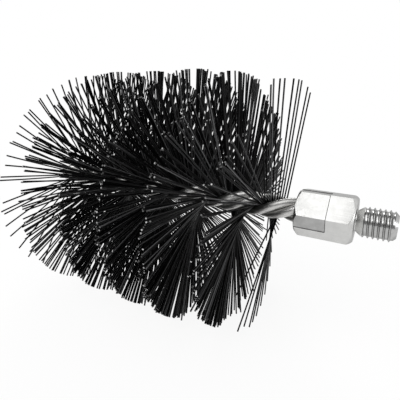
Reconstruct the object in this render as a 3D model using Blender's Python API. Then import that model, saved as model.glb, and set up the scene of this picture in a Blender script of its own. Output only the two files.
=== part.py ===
"""Flue brush: twisted wire stem, double spiral of bristles and a threaded hexagonal connector.

The brush lies along X with its stud at the +X end and +Z up. The origin is the centre of the
stud's end face. Lengths are in metres and angles in radians.
"""
from math import atan, atan2, ceil, cos, hypot, pi, radians, sin, tan

import bmesh
import bpy
from mathutils import Vector

# Threaded stud, an M10 x 1.5 screw end
STUD_DIAMETER = 0.0100
STUD_LENGTH = 0.0120
STUD_END_CHAMFER = 0.0014
UNDERCUT_DIAMETER = 0.0068
UNDERCUT_LENGTH = 0.0024
UNDERCUT_FLOOR = 0.0003
ROUND_SIDES = 32

# Hexagonal body, chamfered at both ends
HEX_ACROSS_FLATS = 0.0150
HEX_LENGTH = 0.0185
HEX_TURN = radians(7.3)
CHAMFER_RELIEF = 0.0007
CHAMFER_SIDES = 48
BAR_ALLOWANCE = 0.0010

# Crimp that grips the stem, pressed by two jaws that don't quite meet
CRIMP_LENGTH = 0.0102
CRIMP_DEPTH = 0.00025
CRIMP_SLOPE_LENGTH = 0.0003
JAW_GAP = 0.0057

# Blind hole for the stem
BORE_CLEARANCE = 0.0003
BORE_END_GAP = 0.0003
DRILL_POINT_ANGLE = radians(59.0)
DRILL_TIP_DIAMETER = 0.0004

# Stem of four wires, twisted left-handed in two pairs
WIRE_DIAMETER = 0.0030
WIRE_CLEARANCE = 0.00025
WIRE_ENGAGEMENT = 0.0120
WIRE_SIDES = 10
WIRE_RINGS_PER_TURN = 14
TWIST_PITCH = 0.0350
BARE_STEM = 0.0045
STEM_TAIL = 0.0040

# Bristles, laid side by side between the two pairs of wires
BRUSH_DIAMETER = 0.0920
BRUSH_LENGTH = 0.1050
END_SHORTENING = 0.0022
END_SHORTENING_LENGTH = 0.0130
LAYER_THICKNESS = 0.0005
LAYER_INSET = 0.0002
STRAND_WIDTH = 0.0004
FIRST_BRISTLE_ANGLE = radians(-21.0)
BUNDLES_PER_TURN = 6
STRAND_SPACING = 0.00043
BUNDLE_GAP = 0.0003
REST_FLAT_DEPTH = 0.0005

# Lean of the strands along the stem, towards the connector where positive
LEAN = radians(1.2)
FIRST_LEAN = radians(-9.0)
FIRST_LEAN_TURNS = 0.50
FIRST_LEAN_EASING_TURNS = 0.30
HANGING_LEAN = radians(4.0)
HANGING_LEAN_START_TURNS = 0.80
HANGING_LEAN_END_TURNS = 2.20
HANGING_LEAN_EASING_TURNS = 0.25
HANGING_FROM_HEIGHT = 0.2
HANGING_TO_HEIGHT = -0.3
LAST_LEAN = radians(3.8)
LAST_LEAN_TURNS = 0.55

# Places along the brush
SHOULDER_X = -STUD_LENGTH
CRIMP_END_X = SHOULDER_X - HEX_LENGTH
CRIMP_EDGE_X = CRIMP_END_X + CRIMP_LENGTH
WIRE_START_X = CRIMP_END_X + WIRE_ENGAGEMENT
BORE_END_X = WIRE_START_X + BORE_END_GAP
BRUSH_START_X = CRIMP_END_X - BARE_STEM
BRUSH_END_X = BRUSH_START_X - BRUSH_LENGTH
WIRE_END_X = BRUSH_END_X - STEM_TAIL

# Cross-section of the stem, across the layer of bristles and along it
TWIST_RATE = 2.0 * pi / TWIST_PITCH
WIRE_RADIUS = WIRE_DIAMETER / 2.0
PLACING_ROUNDS = 8

# Edges sharper than these stay crisp
CONNECTOR_SHARP_ANGLE = radians(25.0)
WIRE_SHARP_ANGLE = radians(60.0)


def wire_place():
    """Return how far a wire's centre lies along and above the layer, clear of what it touches.

    Both distances grow with the slope of the twist there, and each slope depends on the other.
    """
    along = WIRE_RADIUS + WIRE_CLEARANCE / 2.0
    above = WIRE_RADIUS + WIRE_CLEARANCE + LAYER_THICKNESS / 2.0
    side, lift = along, above
    for _ in range(PLACING_ROUNDS):
        side = along / cos(atan(lift * TWIST_RATE))
        lift = above / cos(atan(side * TWIST_RATE))
    return side, lift


WIRE_SIDE, WIRE_LIFT = wire_place()
WIRE_CENTRE_RADIUS = hypot(WIRE_SIDE, WIRE_LIFT)
STEM_RADIUS = WIRE_CENTRE_RADIUS + WIRE_RADIUS
LAYER_RADIUS = STEM_RADIUS - LAYER_INSET


def clear_scene():
    """Remove every object of the scene."""
    for thing in list(bpy.context.scene.objects):
        bpy.data.objects.remove(thing, do_unlink=True)


def make_material(name, colour, metallic, roughness):
    """Make a plain Principled material."""
    material = bpy.data.materials.new(name)
    material.use_nodes = True
    shader = material.node_tree.nodes["Principled BSDF"]
    shader.inputs["Base Color"].default_value = (*colour, 1.0)
    shader.inputs["Metallic"].default_value = metallic
    shader.inputs["Roughness"].default_value = roughness
    material.diffuse_color = (*colour, 1.0)
    return material


def add_object(name, bm, root, material=None):
    """Turn a bmesh into an object under the brush's empty."""
    bmesh.ops.recalc_face_normals(bm, faces=bm.faces)
    mesh = bpy.data.meshes.new(name)
    bm.to_mesh(mesh)
    bm.free()
    thing = bpy.data.objects.new(name, mesh)
    bpy.context.scene.collection.objects.link(thing)
    thing.parent = root
    if material:
        mesh.materials.append(material)
    return thing


def shade_round(thing, angle):
    """Shade an object smooth, apart from edges sharper than the angle."""
    thing.data.shade_smooth()
    thing.data.set_sharp_from_angle(angle=angle)


def ring(x, radius, sides, turn=0.0):
    """Return the corners of a regular polygon about the X axis, counted from -Y towards +Z."""
    angles = [turn + 2.0 * pi * i / sides for i in range(sides)]
    return [Vector((x, -radius * cos(a), radius * sin(a))) for a in angles]


def hexagon(x, across_flats, turn):
    """Return a hexagon's corners from its width across flats."""
    return ring(x, across_flats / 2.0 / cos(pi / 6.0), 6, turn)


def loft(rings):
    """Join a row of rings with equal numbers of corners into one closed solid."""
    bm = bmesh.new()
    loops = [[bm.verts.new(corner) for corner in corners] for corners in rings]
    for near, far in zip(loops, loops[1:]):
        for i in range(len(near)):
            j = (i + 1) % len(near)
            bm.faces.new((near[i], near[j], far[j], far[i]))
    bm.faces.new(loops[0])
    bm.faces.new(reversed(loops[-1]))
    return bm


def turned(profile, sides):
    """Turn a profile of (x, radius) points about the X axis."""
    return loft([ring(x, radius, sides) for x, radius in profile])


def add_tool(thing, name, bm, root, operation):
    """Shape an object with a hidden tool solid."""
    tool = add_object(name, bm, root)
    tool.hide_render = True
    tool.display_type = "WIRE"
    modifier = thing.modifiers.new(name, "BOOLEAN")
    modifier.operation = operation
    modifier.object = tool
    modifier.solver = "EXACT"


def stud_solid():
    """Turn the stud, with its tapered undercut at the shoulder and its chamfered end."""
    radius = STUD_DIAMETER / 2.0
    neck = UNDERCUT_DIAMETER / 2.0
    root_x = SHOULDER_X - UNDERCUT_LENGTH
    profile = [
        (root_x, neck),
        (SHOULDER_X + UNDERCUT_FLOOR, neck),
        (SHOULDER_X + UNDERCUT_LENGTH, radius),
        (-STUD_END_CHAMFER, radius),
        (0.0, radius - STUD_END_CHAMFER),
    ]
    return turned(profile, ROUND_SIDES)


def chamfer_solid():
    """Turn the blank whose 45 degree ends face the bar off and chamfer its corners."""
    circle = (HEX_ACROSS_FLATS - CHAMFER_RELIEF) / 2.0
    reach = HEX_ACROSS_FLATS
    profile = [
        (CRIMP_END_X, circle),
        (CRIMP_END_X + reach - circle, reach),
        (SHOULDER_X - (reach - circle), reach),
        (SHOULDER_X, circle),
    ]
    return turned(profile, CHAMFER_SIDES)


def jaw_section(x, widening):
    """Return the outline that the two jaws leave: a hexagon, but open between the jaws."""
    flat = HEX_ACROSS_FLATS / 2.0 - CRIMP_DEPTH + widening
    gap = JAW_GAP / 2.0 + widening
    corner = flat * tan(pi / 6.0)
    edge = (flat - gap * cos(pi / 3.0)) / sin(pi / 3.0)
    ear = HEX_ACROSS_FLATS + widening
    quarter = [(flat, corner), (gap, edge), (gap, ear)]
    half = quarter + [(-across, along) for across, along in reversed(quarter)]
    outline = half + [(-across, -along) for across, along in half]
    across_jaws = HEX_TURN + pi / 6.0
    front = Vector((0.0, -cos(across_jaws), sin(across_jaws)))
    side = Vector((0.0, sin(across_jaws), cos(across_jaws)))
    return [Vector((x, 0.0, 0.0)) + front * a + side * b for a, b in outline]


def die_solid():
    """Loft the space inside the crimping jaws, which opens out past the crimp."""
    widening = CRIMP_DEPTH * 2.0
    open_x = CRIMP_EDGE_X + CRIMP_SLOPE_LENGTH * 2.0
    return loft([
        jaw_section(CRIMP_END_X - BAR_ALLOWANCE * 2.0, 0.0),
        jaw_section(CRIMP_EDGE_X, 0.0),
        jaw_section(open_x, widening),
        jaw_section(max(open_x, SHOULDER_X) + BAR_ALLOWANCE * 2.0, widening),
    ])


def bore_solid():
    """Turn the drilled hole, with the cone that a drill leaves at its end."""
    radius = STEM_RADIUS + BORE_CLEARANCE
    tip_radius = DRILL_TIP_DIAMETER / 2.0
    cone = (radius - tip_radius) / tan(DRILL_POINT_ANGLE)
    profile = [
        (CRIMP_END_X - radius, radius),
        (BORE_END_X, radius),
        (BORE_END_X + cone, tip_radius),
    ]
    return turned(profile, ROUND_SIDES)


def build_connector(root, material):
    """Model the hexagonal connector with its crimp, hole and stud as one solid."""
    bar = loft([
        hexagon(CRIMP_END_X - BAR_ALLOWANCE, HEX_ACROSS_FLATS, HEX_TURN),
        hexagon(SHOULDER_X + BAR_ALLOWANCE, HEX_ACROSS_FLATS, HEX_TURN),
    ])
    connector = add_object("threaded_connector", bar, root, material)
    add_tool(connector, "chamfer_blank", chamfer_solid(), root, "INTERSECT")
    add_tool(connector, "crimping_die", die_solid(), root, "INTERSECT")
    add_tool(connector, "stud_blank", stud_solid(), root, "UNION")
    add_tool(connector, "stem_hole", bore_solid(), root, "DIFFERENCE")
    shade_round(connector, CONNECTOR_SHARP_ANGLE)


def layer_angle(x):
    """Return how far the layer of bristles has turned at x, from +Z towards -Y."""
    return FIRST_BRISTLE_ANGLE + TWIST_RATE * (BRUSH_START_X - x)


def along_layer(angle):
    """Return the direction of the bristles at an angle."""
    return Vector((0.0, -sin(angle), cos(angle)))


def across_layer(angle):
    """Return the direction square to the bristles and to the stem."""
    return Vector((0.0, -cos(angle), -sin(angle)))


def wire_section():
    """Return a round wire's outline where a cut square to the stem meets it.

    The wire lies aslant, so each point of its round section slides along the twist to the
    cut. The result is a list of (radius, angle) about the stem, from the wire's own centre.
    """
    slant = atan(WIRE_CENTRE_RADIUS * TWIST_RATE)
    outline = []
    for i in range(WIRE_SIDES):
        turn = 2.0 * pi * (i + 0.5) / WIRE_SIDES
        out = WIRE_CENTRE_RADIUS + WIRE_RADIUS * cos(turn)
        aside = WIRE_RADIUS * sin(turn)
        angle = atan2(aside * cos(slant), out) + TWIST_RATE * aside * sin(slant)
        outline.append((hypot(out, aside * cos(slant)), angle))
    return outline


def build_wire(name, side, lift, root, material):
    """Model one wire of the stem from inside the connector to the cut end."""
    place = atan2(lift * WIRE_LIFT, side * WIRE_SIDE)
    length = WIRE_START_X - WIRE_END_X
    steps = ceil(length / TWIST_PITCH * WIRE_RINGS_PER_TURN)
    outline = wire_section()
    rings = []
    for step in range(steps + 1):
        x = WIRE_START_X - length * step / steps
        turn = layer_angle(x) + place
        rings.append([
            Vector((x, 0.0, 0.0)) + radius * along_layer(turn + angle)
            for radius, angle in outline
        ])
    wire = add_object(name, loft(rings), root, material)
    shade_round(wire, WIRE_SHARP_ANGLE)


def build_stem(root, material):
    """Model the four wires, two on each side of the layer of bristles."""
    number = 0
    for lift in (1, -1):
        for side in (1, -1):
            number += 1
            build_wire(f"stem_wire_{number}", side, lift, root, material)


def layer_corners(x):
    """Return the layer's six corners at x, as pairs below and above its middle surface."""
    angle = layer_angle(x)
    half = across_layer(angle) * LAYER_THICKNESS / 2.0
    pairs = []
    for reach in (-LAYER_RADIUS, 0.0, LAYER_RADIUS):
        middle = Vector((x, 0.0, 0.0)) + along_layer(angle) * reach
        pairs.append((middle - half, middle + half))
    return pairs


def eased(share):
    """Return a smooth step from 0 to 1 as the share goes from 0 to 1."""
    share = min(max(share, 0.0), 1.0)
    return share * share * (3.0 - 2.0 * share)


def strand_lean(x, direction, sense):
    """Return how far a strand leans along the stem, towards the connector where positive.

    All lean a little towards it. The first half turn of one spiral leans away from it, and
    what hangs down in the middle leans further towards it, as the last half turn does.
    """
    turns = (BRUSH_START_X - x) / TWIST_PITCH
    turns_left = (x - BRUSH_END_X) / TWIST_PITCH
    lean = LEAN + LAST_LEAN * eased(1.0 - turns_left / LAST_LEAN_TURNS)
    if sense < 0.0:
        lean += FIRST_LEAN * eased((FIRST_LEAN_TURNS - turns) / FIRST_LEAN_EASING_TURNS)
    height_span = HANGING_FROM_HEIGHT - HANGING_TO_HEIGHT
    hanging = eased((HANGING_FROM_HEIGHT - direction.z) / height_span)
    inside = min(turns - HANGING_LEAN_START_TURNS, HANGING_LEAN_END_TURNS - turns)
    return lean + HANGING_LEAN * hanging * eased(inside / HANGING_LEAN_EASING_TURNS)


def strand_reach(x):
    """Return how far a strand reaches from the stem's middle, a little less near both ends."""
    from_end = min(BRUSH_START_X - x, x - BRUSH_END_X)
    shortening = END_SHORTENING * eased(1.0 - from_end / END_SHORTENING_LENGTH)
    return BRUSH_DIAMETER / 2.0 - shortening


def strand_tip(base, x, direction, sense):
    """Return the corners of a strand's end from those of its root.

    The end is parallel to the root, or cut level where the brush rests on its bristles.
    """
    rest_z = -(BRUSH_DIAMETER / 2.0 - REST_FLAT_DEPTH)
    centre = sum(base, Vector()) / len(base)
    narrowing = STRAND_WIDTH / (base[1] - base[0]).length
    reach = strand_reach(x)
    slide = (reach - LAYER_RADIUS) * tan(strand_lean(x, direction, sense))
    tip_centre = Vector((x + slide, 0.0, 0.0)) + direction * reach
    tip = [tip_centre + (corner - centre) * narrowing for corner in base]
    if tip_centre.z >= rest_z:
        return tip
    return [
        root.lerp(end, (rest_z - root.z) / (end.z - root.z))
        for root, end in zip(base, tip)
    ]


def add_strand(bm, base, x, direction, sense):
    """Grow one strand from four corners on the layer's rim."""
    corners = [vert.co.copy() for vert in base]
    tip = [bm.verts.new(co) for co in strand_tip(corners, x, direction, sense)]
    for i in range(4):
        j = (i + 1) % 4
        bm.faces.new((base[i], base[j], tip[j], tip[i]))
    bm.faces.new(tip)


def build_bundle(name, start_x, length, root, material):
    """Model one slice of the layer with the strands that stand out of both its rims."""
    bm = bmesh.new()
    count = max(1, round(length / STRAND_SPACING))
    stations = []
    for i in range(count + 1):
        corners = layer_corners(start_x - length * i / count)
        stations.append([[bm.verts.new(co) for co in pair] for pair in corners])
    for i, (near, far) in enumerate(zip(stations, stations[1:])):
        x = start_x - length * (i + 0.5) / count
        direction = along_layer(layer_angle(x))
        for a, b in ((0, 1), (1, 2)):
            bm.faces.new((near[a][0], near[b][0], far[b][0], far[a][0]))
            bm.faces.new((near[a][1], far[a][1], far[b][1], near[b][1]))
        for rim, sense in ((0, -1.0), (2, 1.0)):
            base = [near[rim][0], far[rim][0], far[rim][1], near[rim][1]]
            add_strand(bm, base, x, direction * sense, sense)
    for end in (stations[0], stations[-1]):
        bm.faces.new((end[0][0], end[1][0], end[2][0], end[2][1], end[1][1], end[0][1]))
    add_object(name, bm, root, material)


def build_bristles(root, material):
    """Model the double spiral of bristles as slices, each a little clear of the next.

    A slice is an even share of a turn, apart from the last one, which ends the brush.
    """
    share = TWIST_PITCH / BUNDLES_PER_TURN
    count = max(1, round(BRUSH_LENGTH / share))
    for i in range(count):
        start_x = BRUSH_START_X - share * i
        end_x = BRUSH_END_X if i == count - 1 else start_x - share + BUNDLE_GAP
        build_bundle(f"bristle_bundle_{i + 1:02d}", start_x, start_x - end_x, root, material)


def build_brush():
    """Build the whole brush under one empty at the origin."""
    clear_scene()
    root = bpy.data.objects.new("flue_brush", None)
    bpy.context.scene.collection.objects.link(root)
    aluminium = make_material("aluminium", (0.78, 0.78, 0.77), 1.0, 0.32)
    steel = make_material("steel_wire", (0.42, 0.41, 0.39), 1.0, 0.38)
    plastic = make_material("black_bristle", (0.012, 0.012, 0.013), 0.0, 0.42)
    build_connector(root, aluminium)
    build_stem(root, steel)
    build_bristles(root, plastic)


build_brush()
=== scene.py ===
"""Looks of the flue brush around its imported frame. Lengths are in metres, angles in radians.

The brush lies along X with its stud at the +X end and +Z up, and the origin is the stud's end.
"""

from math import atan, atan2, cos, floor, hypot, pi, radians, sin, sqrt, tan
from random import Random

import bmesh
import bpy
from mathutils import Matrix, Vector


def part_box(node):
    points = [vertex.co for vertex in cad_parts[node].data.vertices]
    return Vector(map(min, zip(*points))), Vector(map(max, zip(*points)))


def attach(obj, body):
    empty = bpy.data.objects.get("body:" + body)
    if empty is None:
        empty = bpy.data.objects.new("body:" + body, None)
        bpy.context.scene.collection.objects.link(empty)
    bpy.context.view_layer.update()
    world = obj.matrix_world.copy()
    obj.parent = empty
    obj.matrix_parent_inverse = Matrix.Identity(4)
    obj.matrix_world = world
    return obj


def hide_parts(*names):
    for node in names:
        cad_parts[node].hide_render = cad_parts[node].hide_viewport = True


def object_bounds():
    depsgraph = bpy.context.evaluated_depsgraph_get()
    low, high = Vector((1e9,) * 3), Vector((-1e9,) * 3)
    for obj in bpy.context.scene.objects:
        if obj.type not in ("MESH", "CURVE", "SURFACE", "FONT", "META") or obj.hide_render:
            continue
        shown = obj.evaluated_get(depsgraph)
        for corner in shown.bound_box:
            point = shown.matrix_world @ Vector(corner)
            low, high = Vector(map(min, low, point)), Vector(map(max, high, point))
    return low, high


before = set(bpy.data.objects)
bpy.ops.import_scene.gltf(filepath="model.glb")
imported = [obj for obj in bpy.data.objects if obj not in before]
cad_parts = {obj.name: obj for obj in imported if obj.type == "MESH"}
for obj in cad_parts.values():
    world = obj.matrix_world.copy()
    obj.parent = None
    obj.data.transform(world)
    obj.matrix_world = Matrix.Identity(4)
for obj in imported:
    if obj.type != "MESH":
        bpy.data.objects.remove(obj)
CAD_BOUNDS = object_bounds()

# Camera, as the photograph sees the brush
LENS = 31.64
SENSOR_WIDTH = 36.0
CAMERA_TARGET = Vector((-0.06961, 0.0, -0.00259))
CAMERA_DISTANCE = 0.14092
CAMERA_AZIMUTH = radians(28.88)
CAMERA_ELEVATION = radians(17.08)
CAMERA_ROLL = radians(1.02)
CLIP_START = 0.001

# Connector, in the sizes of the solids, but with a steeper step at the crimp and a narrower hole that
# ends flat
STUD_DIAMETER = 0.0100
STUD_LENGTH = 0.0120
STUD_END_CHAMFER = 0.0014
UNDERCUT_DIAMETER = 0.0068
UNDERCUT_LENGTH = 0.0024
UNDERCUT_FLOOR = 0.0003
HEX_SIDES = 6
HEX_ACROSS_FLATS = 0.0150
HEX_TURN = radians(7.3)
CHAMFER_RELIEF = 0.0007
BAR_ALLOWANCE = 0.0010
CRIMP_LENGTH = 0.0102
CRIMP_DEPTH = 0.00025
CRIMP_SLOPE_LENGTH = 0.00022
JAW_GAP = 0.0057
BORE_DIAMETER = 0.0088
BORE_DEPTH = 0.0123
BORE_RIM = 0.0003

# Sides of the crimping die. In each half of them two leave the steep walls beside the gap between
# the jaws, painted dark as painted shade, and one of them all leaves the lower front flat, rougher and
# painted darker as painted shade
JAW_SIDES = 12
JAW_WALLS = (1, 3)
PAINTED_SHADE_SIDE = 10

# Thread and edges of the connector, finer than in the solids
THREAD_PITCH = 0.0015
THREAD_DEPTH = 0.00064
THREAD_PHASE = 0.35
THREAD_START = 0.0017
THREAD_RUN_IN = 0.0010
THREAD_SIDES = 96
ROUND_SIDES = 96
EDGE_ROUNDING = 0.00012
EDGE_SEGMENTS = 2
EDGE_ANGLE = radians(28.0)
CRISP_ANGLE = radians(24.0)
FLAT_ANGLE = radians(0.2)
MERGE_DISTANCE = 1e-7

# One pitch of the thread in straight stretches: where each starts and ends, in pitches, and how high
# it lies there, from 0 at the floor of the groove to 1 at the crest
THREAD_PARTS = [
    (0.0, 0.08, 1.0, 1.0),
    (0.08, 0.14, 1.0, 0.84),
    (0.14, 0.28, 0.84, 0.16),
    (0.28, 0.40, 0.16, 0.03),
    (0.40, 0.54, 0.03, 0.0),
    (0.54, 0.68, 0.0, 0.03),
    (0.68, 0.80, 0.03, 0.16),
    (0.80, 0.94, 0.16, 0.84),
    (0.94, 1.0, 0.84, 1.0),
]

# Fineness of the marks of machining along X, Y and Z: drawn along the bar, turned round it, or even
DRAWN_MARKS = (60.0, 2600.0, 2600.0)
TURNED_MARKS = (2600.0, 300.0, 300.0)
EVEN_MARKS = (900.0, 900.0, 900.0)

# Finishes of the connector: name, paler and darker colour, lowest and highest roughness, marks
BRIGHT, PRESSED, PAINTED_SHADE_STEP, THREADED, PAINTED_SHADE_FLAT, NECK = range(6)
CONNECTOR_FINISHES = [
    ("aluminium", (0.62, 0.62, 0.61), (0.55, 0.55, 0.54), 0.26, 0.38, DRAWN_MARKS),
    ("pressed_aluminium", (0.64, 0.64, 0.63), (0.56, 0.56, 0.55), 0.28, 0.42, EVEN_MARKS),
    # Painted shade: dark in the crimp's step and on the walls beside the gap between the jaws
    ("crimp_painted_shade", (0.16, 0.16, 0.16), (0.08, 0.08, 0.08), 0.50, 0.70, EVEN_MARKS),
    # Painted shade: the thread, darker than the rest of the connector
    ("thread_painted_shade_aluminium", (0.50, 0.50, 0.495), (0.40, 0.40, 0.395), 0.18, 0.26, TURNED_MARKS),
    # Painted shade: the lower front flat, darker than the other flats
    ("pressed_painted_shade_aluminium", (0.46, 0.46, 0.455), (0.38, 0.38, 0.375), 0.34, 0.48, EVEN_MARKS),
    # Painted highlight: the neck, much paler than the thread
    ("neck_painted_highlight_aluminium", (0.86, 0.86, 0.85), (0.78, 0.78, 0.77), 0.26, 0.36, DRAWN_MARKS),
]
METAL_EDGE_TINT = (0.55, 0.55, 0.55, 1.0)

# Finish of the wires: each reads its pattern at a place of its own. A plain roughness, here and
# below, is the shader's own value, for whatever reads no pattern
WIRE_LIGHT = (0.88, 0.875, 0.86)
WIRE_DARK = (0.24, 0.238, 0.23)
WIRE_ROUGHNESS = (0.30, 0.44)
WIRE_PLAIN_ROUGHNESS = 0.35
PATTERN_STEP = 7.0
PATTERN_PER_METRE = 1000.0

# Finish of the bristles and of their cut tips, which is the second finish of each bundle
BRISTLE_DARK = (0.0008, 0.0008, 0.0009)
BRISTLE_LIGHT = (0.22, 0.22, 0.225)
BRISTLE_ROUGHNESS = (0.30, 0.44)
BRISTLE_PLAIN_ROUGHNESS = 0.34
BRISTLE_SPECULAR = 0.04
TIP_DARK = (0.03, 0.03, 0.03)
# Painted glint: the pale colour of a few cut tips
TIP_GLINT = (0.75, 0.75, 0.75)
TIP_ROUGHNESS = 0.5
TIP_FINISH = 1

# Most bristles are black and a few are greyer, and each has a paler line along both sides, a painted
# highlight
SHADE_SKEW = 9.0
SHADE_MOST = 0.2
PAINTED_HIGHLIGHT_SKEW = 4.0

# Brightness of the cut tips, painted glints: few are bright
TIP_SKEW = 4.5
TIP_MOST = 0.8

# Stem of four wires, twisted left-handed in two pairs, thicker than the solids so that they touch
TWIST_PITCH = 0.0350
WIRE_DIAMETER = 0.00325
WIRE_SIDE = 0.00174
WIRE_LIFT = 0.00210
WIRE_SIDES = 28
WIRE_RINGS_PER_TURN = 48
WIRE_END_ROUNDING = 0.0003
WIRE_SHARP_ANGLE = radians(50.0)
BARE_STEM = 0.0045
STEM_TAIL = 0.0040

# Bristles
FIRST_BRISTLE_ANGLE = radians(-21.0)
BUNDLES_PER_TURN = 6
BRISTLE_DIAMETER = 0.00056
BRISTLE_SIDES = 7
BRISTLE_RINGS = 8
BRISTLE_SHARP_ANGLE = radians(60.0)
LAYER_OFFSET = 0.00020
OFFSET_SPREAD = 0.5
GRIP_RADIUS = 0.0042
BRISTLE_SEED = 11

# Distance from one bristle to the next, by the place along the stem
SPACING = [
    (-0.1390, 0.00140),
    (-0.1340, 0.00080),
    (-0.1300, 0.00035),
    (-0.1250, 0.00028),
    (-0.1220, 0.00022),
    (-0.1170, 0.00020),
    (-0.1130, 0.00012),
    (-0.1060, 0.00010),
    (-0.1000, 0.00009),
    (-0.0960, 0.00012),
    (-0.0900, 0.00009),
    (-0.0840, 0.00008),
    (-0.0760, 0.00011),
    (-0.0690, 0.00007),
    (-0.0660, 0.00009),
    (-0.0620, 0.00013),
    (-0.0585, 0.00015),
    (-0.0560, 0.00010),
    (-0.0535, 0.00009),
    (-0.0515, 0.00009),
    (-0.0490, 0.00009),
    (-0.0475, 0.00015),
    (-0.0450, 0.00020),
]
SPACING_SPREAD = 0.25

# The bristles are packed closer and looser by turns, twice in each turn of the twist
PACKING_WAVE = 0.20
PACKING_PEAK = radians(105.0)

# A place where the brush has no bristles
BARE_PLACE = (-0.0550, -0.0546)

# The first bristles, one by one: distance from the brush's start, then each half's lean along the
# stem and across it in degrees, its shift along the stem at the root and its reach, upper half first
FIRST_BRISTLES = [
    (0.0001, (0.1, -7.6, 0.0, 0.0440), (-7.5, 4.9, -0.0024, 0.0460)),
    (0.0009, (1.1, -9.8, 0.0, 0.0440), (-7.3, 3.9, -0.0020, 0.0460)),
    (0.0016, (1.2, -7.5, 0.0, 0.0440), (-4.5, 10.1, -0.0017, 0.0460)),
    (0.0023, (1.3, -13.1, 0.0, 0.0440), (-19.8, 5.1, -0.0014, 0.0400)),
    (0.0030, (6.0, 2.1, 0.0, 0.0440), (-4.0, 18.7, -0.0011, 0.0460)),
    (0.0038, (2.9, -8.3, 0.0, 0.0440), (-3.5, 21.3, -0.0008, 0.0460)),
    (0.0045, (2.2, -14.6, 0.0, 0.0440), (-4.2, 19.2, -0.0005, 0.0460)),
    (0.0050, (0.1, -19.6, 0.0, 0.0440), (-4.8, 15.4, -0.0003, 0.0460)),
    (0.0055, (2.9, -15.9, 0.0, 0.0440), (-6.4, 11.2, 0.0, 0.0460)),
    (0.0061, (6.2, -10.0, 0.0, 0.0440), (-7.5, 7.3, 0.0, 0.0460)),
    (0.0067, (7.4, -10.5, 0.0, 0.0440), (-8.6, 4.4, 0.0, 0.0460)),
]

# Lean towards the connector of all the bristles after the first ones, by their place along the stem
LEAN = [(-0.130, radians(5.0)), (-0.119, radians(1.2))]

# Further lean and reach of the bristles that hang down. They count as hanging by degrees, from one
# height of their direction to another
HANGING_LEAN = [
    (-0.112, 0.0),
    (-0.100, radians(4.0)),
    (-0.092, radians(4.5)),
    (-0.076, radians(3.3)),
    (-0.070, radians(3.0)),
    (-0.064, 0.0),
    (-0.0625, radians(5.0)),
    (-0.0545, radians(5.0)),
    (-0.053, 0.0),
]
HANGING_REACH = [(-0.064, 0.0010), (-0.054, 0.0)]
HANGING_FROM = 0.2
HANGING_TO = -0.3

# Further lean near the start of the halves that point down there, away from the connector
FIRST_LEAN = [
    (-0.0580, 0.0),
    (-0.0545, radians(-4.0)),
    (-0.0510, radians(-6.0)),
    (-0.0470, radians(-6.0)),
    (-0.0440, radians(-8.0)),
    (-0.0420, radians(-11.5)),
]

# Reach of the bristles from the stem's middle, by their place along the stem
REACH = [
    (-0.130, 0.0440),
    (-0.117, 0.0460),
    (-0.088, 0.0462),
    (-0.078, 0.0468),
    (-0.066, 0.0468),
    (-0.054, 0.0460),
    (-0.042, 0.0445),
]

# Bristles gather in small tufts towards their tips, apart from the loose ones that hang down, from
# this share on
LOOSE_FROM = 0.5
TUFT_STEP = 0.0005
TUFT_PULL = 0.9
TUFT_SPREAD = radians(0.6)
LOOSE_SPREAD = radians(1.2)
LEAN_SPREAD = radians(0.5)
BEND_SPREAD = radians(0.8)

# Floor, white like the background, with a faint shadow near the brush only
FLOOR_COLOUR = (0.95, 0.95, 0.95, 1.0)
FLOOR_RADIUS = 3.0
FLOOR_SIDES = 64
FLOOR_DROP = 0.0001
FLOOR_NEAR = 0.10
FLOOR_FAR = 0.45
FLOOR_GLOW = 0.90

# Light from all round, and what gloss reflects of the studio: white towards the backdrop, dim
# towards the camera's side
WHITE = (1.0, 1.0, 1.0, 1.0)
WORLD_LIGHT = 0.60
BACKDROP_SIDE = (0.45, 0.82, -0.34)
BACKDROP_FADE = (-0.10, 0.45)
ROOM_GLOSS = 0.25

# Square lamps, all at one distance: name, azimuth, which is 0 in front and positive to the right, and
# elevation in degrees, then size and radiance
LAMP_DISTANCE = 0.60
LAMPS = [
    ("key_light", -13.4, 56.0, 0.56, 1.70),
    ("front_light", -34.0, 34.0, 0.16, 4.0),
    ("side_light", 92.0, 10.0, 0.16, 3.0),
    ("back_light", 205.0, 48.0, 0.20, 7.0),
]

# Places and angles that follow from the sizes and the frame
ROOT_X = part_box("threaded_connector")[0].x
SHOULDER_X = -STUD_LENGTH
CRIMP_EDGE_X = ROOT_X + CRIMP_LENGTH
CRIMP_OPEN_X = CRIMP_EDGE_X + CRIMP_SLOPE_LENGTH * 2.0
CRIMP_WIDENING = CRIMP_DEPTH * 2.0
HALF_SECTOR = pi / HEX_SIDES
SECTOR = HALF_SECTOR * 2.0
BRUSH_START_X = ROOT_X - BARE_STEM
BRUSH_END_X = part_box("stem_wire_1")[0].x + STEM_TAIL
TWIST_RATE = 2.0 * pi / TWIST_PITCH
FLOOR_Z = CAD_BOUNDS[0].z


# Meshes

def link(name, bm, materials):
    """Turn a bmesh into an object of the scene, with its faces pointing out."""
    bmesh.ops.recalc_face_normals(bm, faces=bm.faces)
    mesh = bpy.data.meshes.new(name)
    bm.to_mesh(mesh)
    bm.free()
    for material in materials:
        mesh.materials.append(material)
    thing = bpy.data.objects.new(name, mesh)
    bpy.context.scene.collection.objects.link(thing)
    return thing


def shade_round(thing, angle):
    """Shade an object smooth, apart from edges sharper than the angle."""
    thing.data.shade_smooth()
    thing.data.set_sharp_from_angle(angle=angle)


def place(piece, node):
    """Let a piece ride on the brush and the node it stands for."""
    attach(piece, "root")
    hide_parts(node)


def ring(x, radius, sides, turn=0.0):
    """Return the corners of a regular polygon about the X axis, counted from -Y towards +Z."""
    angles = [turn + 2.0 * pi * i / sides for i in range(sides)]
    return [Vector((x, -radius * cos(a), radius * sin(a))) for a in angles]


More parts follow.
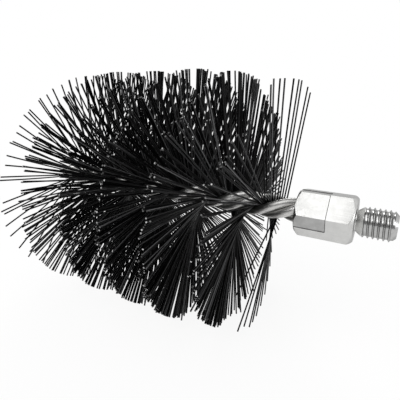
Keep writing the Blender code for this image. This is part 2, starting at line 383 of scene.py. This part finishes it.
def join_loops(bm, loops):
    """Join a row of loops with equal numbers of corners into a closed tube and return its two ends."""
    for near, far in zip(loops, loops[1:]):
        for i in range(len(near)):
            j = (i + 1) % len(near)
            bm.faces.new((near[i], near[j], far[j], far[i]))
    return bm.faces.new(loops[0]), bm.faces.new(reversed(loops[-1]))


def loft(rings):
    """Join a row of rings with equal numbers of corners into one closed solid."""
    bm = bmesh.new()
    join_loops(bm, [[bm.verts.new(corner) for corner in corners] for corners in rings])
    return bm


def turned(profile):
    """Turn a profile of (x, radius) points about the X axis."""
    return loft([ring(x, radius, ROUND_SIDES) for x, radius in profile])


# Materials

def new_material(name, colour, metallic, roughness):
    """Make a Principled material and return it with its tree and shader."""
    material = bpy.data.materials.new(name)
    material.use_nodes = True
    tree = material.node_tree
    shader = tree.nodes["Principled BSDF"]
    shader.inputs["Base Color"].default_value = (*colour, 1.0)
    shader.inputs["Metallic"].default_value = metallic
    shader.inputs["Roughness"].default_value = roughness
    return material, tree, shader


def read_attribute(tree, name, output):
    """Return an output of a node that reads a named attribute of the mesh."""
    node = tree.nodes.new("ShaderNodeAttribute")
    node.attribute_name = name
    return node.outputs[output]


def add_noise(tree, scale=1.0, stretch=(1.0, 1.0, 1.0), detail=4.0, roughness=0.55, attribute=None):
    """Add a noise texture in object space, or in that of a named attribute, stretched on each axis."""
    mapping = tree.nodes.new("ShaderNodeMapping")
    mapping.inputs["Scale"].default_value = stretch
    if attribute:
        source = read_attribute(tree, attribute, "Vector")
    else:
        source = tree.nodes.new("ShaderNodeTexCoord").outputs["Object"]
    tree.links.new(source, mapping.inputs["Vector"])
    texture = tree.nodes.new("ShaderNodeTexNoise")
    texture.inputs["Scale"].default_value = scale
    texture.inputs["Detail"].default_value = detail
    texture.inputs["Roughness"].default_value = roughness
    tree.links.new(mapping.outputs["Vector"], texture.inputs["Vector"])
    return texture.outputs["Fac"]


def to_range(tree, value, low, high, from_low=0.3, from_high=0.7):
    """Map a value to a range, by default from the middle of a noise's own."""
    node = tree.nodes.new("ShaderNodeMapRange")
    node.inputs["From Min"].default_value = from_low
    node.inputs["From Max"].default_value = from_high
    node.inputs["To Min"].default_value = low
    node.inputs["To Max"].default_value = high
    tree.links.new(value, node.inputs["Value"])
    return node.outputs["Result"]


def combine(tree, operation, first, second):
    """Combine two values by an operation such as MAXIMUM."""
    node = tree.nodes.new("ShaderNodeMath")
    node.operation = operation
    tree.links.new(first, node.inputs[0])
    tree.links.new(second, node.inputs[1])
    return node.outputs["Value"]


def blend_colours(tree, factor, low, high):
    """Mix two colours by a value."""
    node = tree.nodes.new("ShaderNodeMix")
    node.data_type = "RGBA"
    node.inputs["A"].default_value = (*low, 1.0)
    node.inputs["B"].default_value = (*high, 1.0)
    tree.links.new(factor, node.inputs["Factor"])
    return node.outputs["Result"]


def add_bump(tree, shader, value, strength, distance, normal=None):
    """Bump the shader's surface with a value, on top of another bump if one is given."""
    node = tree.nodes.new("ShaderNodeBump")
    node.inputs["Strength"].default_value = strength
    node.inputs["Distance"].default_value = distance
    tree.links.new(value, node.inputs["Height"])
    if normal:
        tree.links.new(normal, node.inputs["Normal"])
    tree.links.new(node.outputs["Normal"], shader.inputs["Normal"])
    return node.outputs["Normal"]


def aluminium(name, light, dark, rough_low, rough_high, marks):
    """Satin aluminium with fine marks of machining and faint clouding."""
    material, tree, shader = new_material(name, light, metallic=1.0, roughness=rough_low)
    clouds = to_range(tree, add_noise(tree, scale=420.0), 0.0, 1.0)
    lines = add_noise(tree, stretch=marks, detail=6.0, roughness=0.7)
    tree.links.new(blend_colours(tree, clouds, light, dark), shader.inputs["Base Color"])
    tree.links.new(to_range(tree, lines, rough_low, rough_high), shader.inputs["Roughness"])
    shader.inputs["Specular Tint"].default_value = METAL_EDGE_TINT
    fine = add_bump(tree, shader, lines, strength=0.25, distance=0.00002)
    dents = add_noise(tree, scale=900.0, detail=3.0)
    add_bump(tree, shader, dents, strength=0.15, distance=0.00003, normal=fine)
    return material


def steel_wire():
    """Dull galvanised wire, with draw marks along it and darker patches."""
    rough_low, rough_high = WIRE_ROUGHNESS
    material, tree, shader = new_material("steel_wire", WIRE_LIGHT, metallic=1.0,
                                          roughness=WIRE_PLAIN_ROUGHNESS)
    stains = add_noise(tree, stretch=(260.0, 1.2, 1.0), detail=5.0, roughness=0.6, attribute="along")
    lines = add_noise(tree, stretch=(120.0, 14.0, 1.0), detail=5.0, roughness=0.65, attribute="along")
    patches = to_range(tree, stains, 0.0, 1.0)
    tree.links.new(blend_colours(tree, patches, WIRE_LIGHT, WIRE_DARK), shader.inputs["Base Color"])
    tree.links.new(to_range(tree, lines, rough_low, rough_high), shader.inputs["Roughness"])
    add_bump(tree, shader, lines, strength=0.25, distance=0.00005)
    return material


def black_plastic():
    """Satin black filament, each one a little unlike the next."""
    rough_low, rough_high = BRISTLE_ROUGHNESS
    material, tree, shader = new_material("black_bristle", BRISTLE_DARK, metallic=0.0,
                                          roughness=BRISTLE_PLAIN_ROUGHNESS)
    shade = read_attribute(tree, "shade", "Fac")
    # The shade attribute carries each bristle's grey and its painted highlight lines
    tree.links.new(blend_colours(tree, shade, BRISTLE_DARK, BRISTLE_LIGHT), shader.inputs["Base Color"])
    roughness = to_range(tree, shade, rough_low, rough_high, from_low=0.0, from_high=1.0)
    tree.links.new(roughness, shader.inputs["Roughness"])
    shader.inputs["Specular IOR Level"].default_value = BRISTLE_SPECULAR
    ripple = add_noise(tree, scale=1500.0, detail=2.0)
    add_bump(tree, shader, ripple, strength=0.2, distance=0.00002)
    return material


def painted_tip_glints():
    """Rough end of a filament, dark on most and painted pale on a few, as a painted glint."""
    material, tree, shader = new_material("tip_painted_glint", TIP_GLINT, metallic=0.0, roughness=TIP_ROUGHNESS)
    shade = read_attribute(tree, "tip", "Fac")
    tree.links.new(blend_colours(tree, shade, TIP_DARK, TIP_GLINT), shader.inputs["Base Color"])
    grain = add_noise(tree, scale=6000.0, detail=2.0)
    add_bump(tree, shader, grain, strength=0.5, distance=0.00003)
    return material


# Connector

def bar_solid():
    """Loft the hexagonal bar, a little longer than the connector's body."""
    radius = HEX_ACROSS_FLATS / 2.0 / cos(HALF_SECTOR)
    ends = (ROOT_X - BAR_ALLOWANCE, SHOULDER_X + BAR_ALLOWANCE)
    return loft([ring(x, radius, HEX_SIDES, HEX_TURN) for x in ends])


def chamfer_solid():
    """Turn the blank whose 45 degree ends face the bar off and chamfer its corners."""
    circle = (HEX_ACROSS_FLATS - CHAMFER_RELIEF) / 2.0
    reach = HEX_ACROSS_FLATS
    return turned([
        (ROOT_X, circle),
        (ROOT_X + reach - circle, reach),
        (SHOULDER_X - (reach - circle), reach),
        (SHOULDER_X, circle),
    ])


def jaw_section(x, widening):
    """Return the outline that the two crimping jaws leave, open between the jaws."""
    flat = HEX_ACROSS_FLATS / 2.0 - CRIMP_DEPTH + widening
    gap = JAW_GAP / 2.0 + widening
    corner = flat * tan(HALF_SECTOR)
    edge = (flat - gap * cos(SECTOR)) / sin(SECTOR)
    ear = HEX_ACROSS_FLATS + widening
    quarter = [(flat, corner), (gap, edge), (gap, ear)]
    half = quarter + [(-across, along) for across, along in reversed(quarter)]
    outline = half + [(-across, -along) for across, along in half]
    across_jaws = HEX_TURN + HALF_SECTOR
    front = Vector((0.0, -cos(across_jaws), sin(across_jaws)))
    side = Vector((0.0, sin(across_jaws), cos(across_jaws)))
    return [Vector((x, 0.0, 0.0)) + front * a + side * b for a, b in outline]


def crimp_finish(index, middle_x):
    """Return the finish that a face of the die leaves, by its number and the place of its middle."""
    # The lower front flat gets painted shade
    if index == PAINTED_SHADE_SIDE:
        return PAINTED_SHADE_FLAT
    # The crimp's step and the walls beside the gap between the jaws get painted shade
    wall = index < JAW_SIDES and index % (JAW_SIDES // 2) in JAW_WALLS
    if wall or CRIMP_EDGE_X < middle_x < CRIMP_OPEN_X:
        return PAINTED_SHADE_STEP
    return PRESSED if middle_x < CRIMP_EDGE_X else BRIGHT


def die_solid():
    """Loft the space inside the crimping jaws, which opens out past the crimp."""
    die = loft([
        jaw_section(ROOT_X - BAR_ALLOWANCE * 2.0, 0.0),
        jaw_section(CRIMP_EDGE_X, 0.0),
        jaw_section(CRIMP_OPEN_X, CRIMP_WIDENING),
        jaw_section(SHOULDER_X + BAR_ALLOWANCE * 2.0, CRIMP_WIDENING),
    ])
    for index, face in enumerate(die.faces):
        face.material_index = crimp_finish(index, face.calc_center_median().x)
    return die


def hole_solid():
    """Turn the hole for the stem, with a small step at its mouth."""
    radius = BORE_DIAMETER / 2.0
    return turned([
        (ROOT_X - radius, radius + BORE_RIM),
        (ROOT_X, radius + BORE_RIM),
        (ROOT_X + BORE_RIM, radius),
        (ROOT_X + BORE_DEPTH, radius),
    ])


def thread_radius(turns):
    """Return the thread's radius, where turns counts its pitches from a crest's edge."""
    inner = STUD_DIAMETER / 2.0 - THREAD_DEPTH
    share = turns - floor(turns)
    for start, end, first, last in THREAD_PARTS:
        if share <= end:
            along = (share - start) / (end - start)
            return inner + THREAD_DEPTH * (first + (last - first) * along)
    return inner


def stud_radius(x, turns):
    """Return the stud's radius at x: the thread within its undercut and its end chamfer."""
    neck = UNDERCUT_DIAMETER / 2.0
    outer = STUD_DIAMETER / 2.0
    taper_start = SHOULDER_X + UNDERCUT_FLOOR
    taper_end = SHOULDER_X + UNDERCUT_LENGTH
    taper = neck + (x - taper_start) / (taper_end - taper_start) * (outer - neck)
    chamfer = outer - STUD_END_CHAMFER - x
    run_in = min(max((x + STUD_LENGTH - THREAD_START) / THREAD_RUN_IN, 0.0), 1.0)
    thread = outer - (outer - thread_radius(turns)) * run_in
    return max(neck, min(thread, taper, chamfer))


def stud_rows(bm):
    """Lay out the stud's surface in rows of points that follow the right-hand thread.

    The rows start before the stud and end past it, and points beyond either end are held at it.
    """
    start_x = SHOULDER_X + UNDERCUT_FLOOR
    shares = [part[0] for part in THREAD_PARTS]
    pitches = int(-start_x / THREAD_PITCH) + 2
    rows = []
    for row in [pitch + share for pitch in range(-1, pitches + 1) for share in shares]:
        points = []
        for i in range(THREAD_SIDES):
            turn = i / THREAD_SIDES
            x = min(max(start_x + (row - turn + THREAD_PHASE) * THREAD_PITCH, start_x), 0.0)
            radius = stud_radius(x, (x - start_x) / THREAD_PITCH + turn - THREAD_PHASE)
            angle = 2.0 * pi * turn
            points.append(bm.verts.new((x, -radius * cos(angle), radius * sin(angle))))
        rows.append(points)
    return rows


def stud_solid():
    """Model the threaded stud as one closed solid.

    A row ends where the row of one pitch before it starts, so the seam joins those two.
    """
    bm = bmesh.new()
    foot = ring(SHOULDER_X - UNDERCUT_LENGTH, UNDERCUT_DIAMETER / 2.0, THREAD_SIDES)
    neck = [bm.verts.new(corner) for corner in foot]
    rows = stud_rows(bm)
    for r in range(len(rows) - 1):
        for i in range(THREAD_SIDES - 1):
            bm.faces.new((rows[r][i], rows[r][i + 1], rows[r + 1][i + 1], rows[r + 1][i]))
        before = max(r - len(THREAD_PARTS), 0)
        after = max(r + 1 - len(THREAD_PARTS), 0)
        corners = [rows[r][-1], rows[before][0], rows[after][0], rows[r + 1][-1]]
        if before == after:
            corners.pop(2)
        bm.faces.new(corners)
    for i in range(THREAD_SIDES):
        j = (i + 1) % THREAD_SIDES
        bm.faces.new((neck[i], neck[j], rows[0][j], rows[0][i]))
    bm.faces.new(neck)
    bm.faces.new(reversed(rows[-1]))
    bmesh.ops.remove_doubles(bm, verts=bm.verts, dist=MERGE_DISTANCE)
    bmesh.ops.dissolve_degenerate(bm, edges=bm.edges, dist=MERGE_DISTANCE)
    # The neck is painted paler, a painted highlight, and the thread darker, painted shade
    for face in bm.faces:
        on_neck = face.calc_center_median().x <= SHOULDER_X + UNDERCUT_LENGTH
        face.material_index = NECK if on_neck else THREADED
    return bm


def cut(thing, bm, operation):
    """Shape an object with a tool solid of the same finishes and keep the result as its mesh."""
    tool = link("tool", bm, thing.data.materials)
    modifier = thing.modifiers.new("cut", "BOOLEAN")
    modifier.operation = operation
    modifier.object = tool
    modifier.solver = "EXACT"
    bpy.context.view_layer.update()
    shaped = thing.evaluated_get(bpy.context.evaluated_depsgraph_get())
    mesh = bpy.data.meshes.new_from_object(shaped)
    thing.modifiers.clear()
    thing.data = mesh
    bpy.data.objects.remove(tool, do_unlink=True)


def round_edges(thing):
    """Round the bar's edges a little, apart from those of the crimp's step."""
    bm = bmesh.new()
    bm.from_mesh(thing.data)
    bmesh.ops.remove_doubles(bm, verts=bm.verts, dist=MERGE_DISTANCE)
    bmesh.ops.dissolve_limit(bm, angle_limit=FLAT_ANGLE, verts=bm.verts, edges=bm.edges,
                             delimit={"MATERIAL"})
    edges = []
    for edge in bm.edges:
        if len(edge.link_faces) != 2 or edge.calc_face_angle() < EDGE_ANGLE:
            continue
        if any(face.material_index == PAINTED_SHADE_STEP for vert in edge.verts for face in vert.link_faces):
            continue
        edges.append(edge)
    bmesh.ops.bevel(bm, geom=edges, offset=EDGE_ROUNDING, segments=EDGE_SEGMENTS, profile=0.5,
                    affect="EDGES", clamp_overlap=True, material=-1)
    bm.to_mesh(thing.data)
    bm.free()


def build_connector():
    """Model the connector: chamfered hexagon, crimp, threaded stud and hole."""
    finishes = [aluminium(*finish) for finish in CONNECTOR_FINISHES]
    connector = link("connector", bar_solid(), finishes)
    cut(connector, chamfer_solid(), "INTERSECT")
    cut(connector, die_solid(), "INTERSECT")
    round_edges(connector)
    cut(connector, stud_solid(), "UNION")
    cut(connector, hole_solid(), "DIFFERENCE")
    shade_round(connector, CRISP_ANGLE)
    place(connector, "threaded_connector")


# Stem

def layer_angle(x):
    """Return how far the layer of bristles has turned at x, from +Z towards -Y."""
    return FIRST_BRISTLE_ANGLE + TWIST_RATE * (BRUSH_START_X - x)


def along_layer(angle):
    """Return the direction of the bristles at an angle."""
    return Vector((0.0, -sin(angle), cos(angle)))


def across_layer(angle):
    """Return the direction square to the bristles and to the stem."""
    return Vector((0.0, -cos(angle), -sin(angle)))


def build_wire(number, side, lift, material):
    """Model one wire of the stem, round across its own slanting line."""
    node = f"stem_wire_{number}"
    low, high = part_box(node)
    reach = hypot(WIRE_SIDE, WIRE_LIFT)
    middle_angle = atan2(lift * WIRE_LIFT, side * WIRE_SIDE)
    slant = atan(reach * TWIST_RATE)
    length = high.x - low.x
    steps = int(length / TWIST_PITCH * WIRE_RINGS_PER_TURN)
    stations = [length * i / steps for i in range(steps)]
    stations += [length - WIRE_END_ROUNDING, length]
    radius = WIRE_DIAMETER / 2.0
    bm = bmesh.new()
    along = bm.verts.layers.float_vector.new("along")
    loops = []
    for i, distance in enumerate(stations):
        x = high.x - distance
        size = radius - WIRE_END_ROUNDING if i in (0, len(stations) - 1) else radius
        loop = []
        for k in range(WIRE_SIDES):
            turn = 2.0 * pi * k / WIRE_SIDES
            out = reach + size * cos(turn)
            aside = size * sin(turn)
            angle = atan2(aside * cos(slant), out) + TWIST_RATE * aside * sin(slant)
            direction = along_layer(layer_angle(x) + middle_angle + angle)
            vert = bm.verts.new(Vector((x, 0.0, 0.0)) + hypot(out, aside * cos(slant)) * direction)
            pattern_x = distance / cos(slant) * PATTERN_PER_METRE
            vert[along] = Vector((cos(turn), pattern_x, sin(turn) + number * PATTERN_STEP))
            loop.append(vert)
        loops.append(loop)
    join_loops(bm, loops)
    wire = link(f"wire_{number}", bm, [material])
    shade_round(wire, WIRE_SHARP_ANGLE)
    place(wire, node)


def build_stem():
    """Model the four wires, two on each side of the layer of bristles."""
    material = steel_wire()
    number = 0
    for lift in (1, -1):
        for side in (1, -1):
            number += 1
            build_wire(number, side, lift, material)


# Bristles

def smooth_table(x, table):
    """Read a value between the points of a table, with an eased step from one to the next."""
    points = sorted(table)
    if x <= points[0][0]:
        return points[0][1]
    for (x0, v0), (x1, v1) in zip(points, points[1:]):
        if x <= x1:
            t = (x - x0) / (x1 - x0)
            return v0 + (v1 - v0) * t * t * (3.0 - 2.0 * t)
    return points[-1][1]


def spacing(x):
    """Return the distance from one bristle to the next at a place along the stem."""
    wave = cos(2.0 * (layer_angle(x) - PACKING_PEAK))
    return smooth_table(x, SPACING) * (1.0 - PACKING_WAVE * wave)


def hanging_share(x, sense):
    """Return 1 for a bristle that points down, 0 for one that points up, and between them a ramp."""
    height = along_layer(layer_angle(x)).z * sense
    share = (height - HANGING_FROM) / (HANGING_TO - HANGING_FROM)
    return min(max(share, 0.0), 1.0)


class Tufts:
    """The tufts of one side of the brush: each has a lean of its own, and draws its bristles in."""

    def __init__(self, rng):
        self.rng = rng
        self.number = None
        self.lean = (0.0, 0.0)

    def lean_at(self, x, sense, loose):
        """Return the lean of a bristle along the stem and around it."""
        deviation = LOOSE_SPREAD if loose else TUFT_SPREAD
        number = floor(x / TUFT_STEP)
        if number != self.number or loose:
            self.number = number
            self.lean = (self.rng.gauss(0.0, deviation), self.rng.gauss(0.0, deviation))
        along, around = (part + self.rng.gauss(0.0, LEAN_SPREAD) for part in self.lean)
        if not loose:
            from_middle = x - (number + 0.5) * TUFT_STEP
            around += sense * TUFT_PULL * TWIST_RATE * from_middle
        return along, around


class Half:
    """The course of one half of a bristle: its leans and bends, its shift and its reach."""

    def __init__(self, lean_x, lean_side, bend_x, bend_side, shift, reach):
        self.lean_x = lean_x
        self.lean_side = lean_side
        self.bend_x = bend_x
        self.bend_side = bend_side
        self.shift = shift
        self.reach = reach

    def path(self, x, sense, offset):
        """Return the points from the rim of the stem to the tip."""
        angle = layer_angle(x)
        out = along_layer(angle) * sense
        side = across_layer(angle)
        length = self.reach - GRIP_RADIUS
        start = Vector((x + self.shift, 0.0, 0.0)) + side * offset
        points = []
        for i in range(BRISTLE_RINGS + 1):
            u = i / BRISTLE_RINGS
            slide_x = length * (tan(self.lean_x) * u + tan(self.bend_x) * u * u)
            slide_side = length * (tan(self.lean_side) * u + tan(self.bend_side) * u * u)
            tip_reach = sqrt(self.reach ** 2 - (offset + slide_side) ** 2)
            reach = GRIP_RADIUS + (tip_reach - GRIP_RADIUS) * u
            points.append(start + out * reach + side * slide_side + Vector((slide_x, 0.0, 0.0)))
        return points


class Shades:
    """The shades of one bristle: its two cut tips with their painted glints, its surface and a painted
    highlight along both its sides.
    """

    def __init__(self, rng):
        self.tips = [rng.random() ** TIP_SKEW * TIP_MOST for _ in range(2)]
        self.surface = rng.random() ** SHADE_SKEW * SHADE_MOST
        start = rng.randrange(BRISTLE_SIDES)
        self.painted_highlight_sides = (start, (start + BRISTLE_SIDES // 2) % BRISTLE_SIDES)
        self.line = max(self.surface, rng.random() ** PAINTED_HIGHLIGHT_SKEW)


def random_half(x, sense, tufts, rng):
    """Return the course of one half of an ordinary bristle."""
    hanging = hanging_share(x, sense)
    lean_x, lean_side = tufts.lean_at(x, sense, hanging > LOOSE_FROM)
    lean_x += hanging * smooth_table(x, HANGING_LEAN) + smooth_table(x, LEAN)
    if sense < 0:
        lean_x += smooth_table(x, FIRST_LEAN)
    bend_x, bend_side = rng.gauss(0.0, BEND_SPREAD), rng.gauss(0.0, BEND_SPREAD)
    reach = smooth_table(x, REACH) + hanging * smooth_table(x, HANGING_REACH)
    return Half(lean_x, lean_side, bend_x, bend_side, 0.0, reach)


def first_half(course, rng):
    """Return the course of one half of a bristle of the first few."""
    lean_x, lean_side, shift, reach = course
    bend = rng.gauss(0.0, BEND_SPREAD / 2.0)
    return Half(radians(lean_x) - bend, radians(lean_side), bend, 0.0, shift, reach)


def add_tube(bm, points, shades, layers):
    """Add one bristle along its points, cut level where the brush rests on it."""
    shade_layer, tip_layer = layers
    radius = BRISTLE_DIAMETER / 2.0
    side = (points[1] - points[0]).cross(Vector((1.0, 0.0, 0.0))).normalized()
    loops = []
    for i, point in enumerate(points):
        before, after = points[max(i - 1, 0)], points[min(i + 1, len(points) - 1)]
        direction = (after - before).normalized()
        side = (side - direction * side.dot(direction)).normalized()
        other = direction.cross(side)
        loop = []
        for k in range(BRISTLE_SIDES):
            turn = 2.0 * pi * k / BRISTLE_SIDES
            co = point + (side * cos(turn) + other * sin(turn)) * radius
            if co.z < FLOOR_Z:
                co = co + direction * ((FLOOR_Z - co.z) / direction.z)
            vert = bm.verts.new(co)
            # The paler line along two sides is a painted highlight
            vert[shade_layer] = shades.line if k in shades.painted_highlight_sides else shades.surface
            vert[tip_layer] = shades.tips[0] if i == 0 else shades.tips[1]
            loop.append(vert)
        loops.append(loop)
    for cap in join_loops(bm, loops):
        cap.material_index = TIP_FINISH


def add_bristle(bm, x, lower, upper, offset, rng, layers):
    """Add one bristle with both its halves."""
    points = list(reversed(lower.path(x, -1, offset))) + upper.path(x, 1, offset)
    add_tube(bm, points, Shades(rng), layers)


def bristle_places(low_x, high_x, rng):
    """Return where the bristles of a slice pass through the stem's axis, after the first ones."""
    last = BRUSH_START_X - FIRST_BRISTLES[-1][0]
    x = min(high_x, last - spacing(last))
    places = []
    while x > low_x:
        if not BARE_PLACE[0] < x < BARE_PLACE[1]:
            places.append(x)
        x -= spacing(x) * (1.0 + rng.uniform(-SPACING_SPREAD, SPACING_SPREAD))
    return places


def build_bundle(number, low_x, high_x, rng, materials):
    """Model the bristles of one slice, each passing right through the stem."""
    bm = bmesh.new()
    layers = (bm.verts.layers.float.new("shade"), bm.verts.layers.float.new("tip"))
    for distance, upper, lower in FIRST_BRISTLES:
        x = BRUSH_START_X - distance
        if low_x < x <= high_x:
            add_bristle(bm, x, first_half(lower, rng), first_half(upper, rng), 0.0, rng, layers)
    tufts = (Tufts(rng), Tufts(rng))
    parity = 1
    for x in bristle_places(low_x, high_x, rng):
        parity = -parity
        offset = LAYER_OFFSET * parity + rng.uniform(-OFFSET_SPREAD, OFFSET_SPREAD) * LAYER_OFFSET
        lower = random_half(x, -1, tufts[0], rng)
        upper = random_half(x, 1, tufts[1], rng)
        add_bristle(bm, x, lower, upper, offset, rng, layers)
    bundle = link(f"bristles_{number:02d}", bm, materials)
    shade_round(bundle, BRISTLE_SHARP_ANGLE)
    place(bundle, f"bristle_bundle_{number:02d}")


def build_bristles():
    """Model every bundle of bristles, each an even share of a turn."""
    rng = Random(BRISTLE_SEED)
    materials = [black_plastic(), painted_tip_glints()]
    count = sum(1 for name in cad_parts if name.startswith("bristle_bundle_"))
    share = TWIST_PITCH / BUNDLES_PER_TURN
    for number in range(1, count + 1):
        high_x = BRUSH_START_X - share * (number - 1)
        low_x = BRUSH_END_X if number == count else high_x - share
        build_bundle(number, low_x, high_x, rng, materials)


# Studio

def direction_to(azimuth, elevation):
    """Return the direction at an azimuth, 0 in front and positive to the right, and an elevation."""
    level = cos(elevation)
    return Vector((sin(azimuth) * level, -cos(azimuth) * level, sin(elevation)))


def seen_directly(tree):
    """Return 1 for rays from the camera, off a gloss or through glass, and 0 for the rest."""
    rays = tree.nodes.new("ShaderNodeLightPath").outputs
    either = combine(tree, "MAXIMUM", rays["Is Camera Ray"], rays["Is Glossy Ray"])
    return combine(tree, "MAXIMUM", either, rays["Is Transmission Ray"])


def build_floor():
    """Lay a plain white floor that fades into the white background."""
    bm = bmesh.new()
    bmesh.ops.create_circle(bm, cap_ends=True, radius=FLOOR_RADIUS, segments=FLOOR_SIDES)
    material = bpy.data.materials.new("floor")
    material.use_nodes = True
    tree = material.node_tree
    tree.nodes.clear()
    output = tree.nodes.new("ShaderNodeOutputMaterial")
    mix = tree.nodes.new("ShaderNodeMixShader")
    plain = tree.nodes.new("ShaderNodeBsdfDiffuse")
    plain.inputs["Color"].default_value = FLOOR_COLOUR
    glow = tree.nodes.new("ShaderNodeEmission")
    spot = tree.nodes.new("ShaderNodeTexCoord")
    length = tree.nodes.new("ShaderNodeVectorMath")
    length.operation = "LENGTH"
    tree.links.new(spot.outputs["Object"], length.inputs[0])
    fade = to_range(tree, length.outputs["Value"], FLOOR_GLOW, 1.0, FLOOR_NEAR, FLOOR_FAR)
    tree.links.new(combine(tree, "MULTIPLY", fade, seen_directly(tree)), mix.inputs["Fac"])
    tree.links.new(plain.outputs["BSDF"], mix.inputs[1])
    tree.links.new(glow.outputs["Emission"], mix.inputs[2])
    tree.links.new(mix.outputs["Shader"], output.inputs["Surface"])
    ground = link("floor", bm, [material])
    ground.location = (CAMERA_TARGET.x, 0.0, FLOOR_Z - FLOOR_DROP)


def mix_values(tree, factor, low, high):
    """Mix two values by a factor, each of them a number or a node's output."""
    node = tree.nodes.new("ShaderNodeMix")
    node.data_type = "FLOAT"
    tree.links.new(factor, node.inputs["Factor"])
    for name, value in (("A", low), ("B", high)):
        if isinstance(value, float):
            node.inputs[name].default_value = value
        else:
            tree.links.new(value, node.inputs[name])
    return node.outputs["Result"]


def build_world():
    """Light the brush from all round, with a white backdrop behind it and a dimmer room in front."""
    world = bpy.data.worlds.new("studio")
    bpy.context.scene.world = world
    world.use_nodes = True
    tree = world.node_tree
    background = tree.nodes["Background"]
    background.inputs["Color"].default_value = WHITE
    direction = tree.nodes.new("ShaderNodeTexCoord")
    towards = tree.nodes.new("ShaderNodeVectorMath")
    towards.operation = "DOT_PRODUCT"
    towards.inputs[1].default_value = BACKDROP_SIDE
    tree.links.new(direction.outputs["Generated"], towards.inputs[0])
    studio = to_range(tree, towards.outputs["Value"], ROOM_GLOSS, 1.0, *BACKDROP_FADE)
    rays = tree.nodes.new("ShaderNodeLightPath").outputs
    gloss = combine(tree, "MAXIMUM", rays["Is Glossy Ray"], rays["Is Transmission Ray"])
    reflected = mix_values(tree, gloss, WORLD_LIGHT, studio)
    strength = mix_values(tree, rays["Is Camera Ray"], reflected, 1.0)
    tree.links.new(strength, background.inputs["Strength"])


def build_lamps():
    """Set the four soft lamps: a large one above in front, and smaller ones in front, aside and behind."""
    for name, azimuth, elevation, size, radiance in LAMPS:
        data = bpy.data.lights.new(name, "AREA")
        data.shape = "SQUARE"
        data.size = size
        data.energy = radiance * pi * size * size
        back = direction_to(radians(azimuth), radians(elevation))
        lamp = bpy.data.objects.new(name, data)
        bpy.context.scene.collection.objects.link(lamp)
        lamp.location = CAMERA_TARGET + back * LAMP_DISTANCE
        lamp.rotation_euler = back.to_track_quat("Z", "Y").to_euler()


def build_camera():
    """Set the camera at the photograph's angle."""
    back = direction_to(CAMERA_AZIMUTH, CAMERA_ELEVATION)
    right = Vector((cos(CAMERA_AZIMUTH), sin(CAMERA_AZIMUTH), 0.0))
    up = back.cross(right)
    tilted_right = right * cos(CAMERA_ROLL) + up * sin(CAMERA_ROLL)
    tilted_up = up * cos(CAMERA_ROLL) - right * sin(CAMERA_ROLL)
    data = bpy.data.cameras.new("camera")
    data.lens = LENS
    data.sensor_width = SENSOR_WIDTH
    data.sensor_fit = "HORIZONTAL"
    data.clip_start = CLIP_START
    camera = bpy.data.objects.new("camera", data)
    bpy.context.scene.collection.objects.link(camera)
    turn = Matrix((tilted_right, tilted_up, back)).transposed()
    camera.matrix_world = Matrix.Translation(CAMERA_TARGET + back * CAMERA_DISTANCE) @ turn.to_4x4()
    bpy.context.scene.camera = camera


build_camera()
build_world()
build_lamps()
build_floor()
build_connector()
build_stem()
build_bristles()
bpy.context.scene.view_settings.view_transform = "Standard"
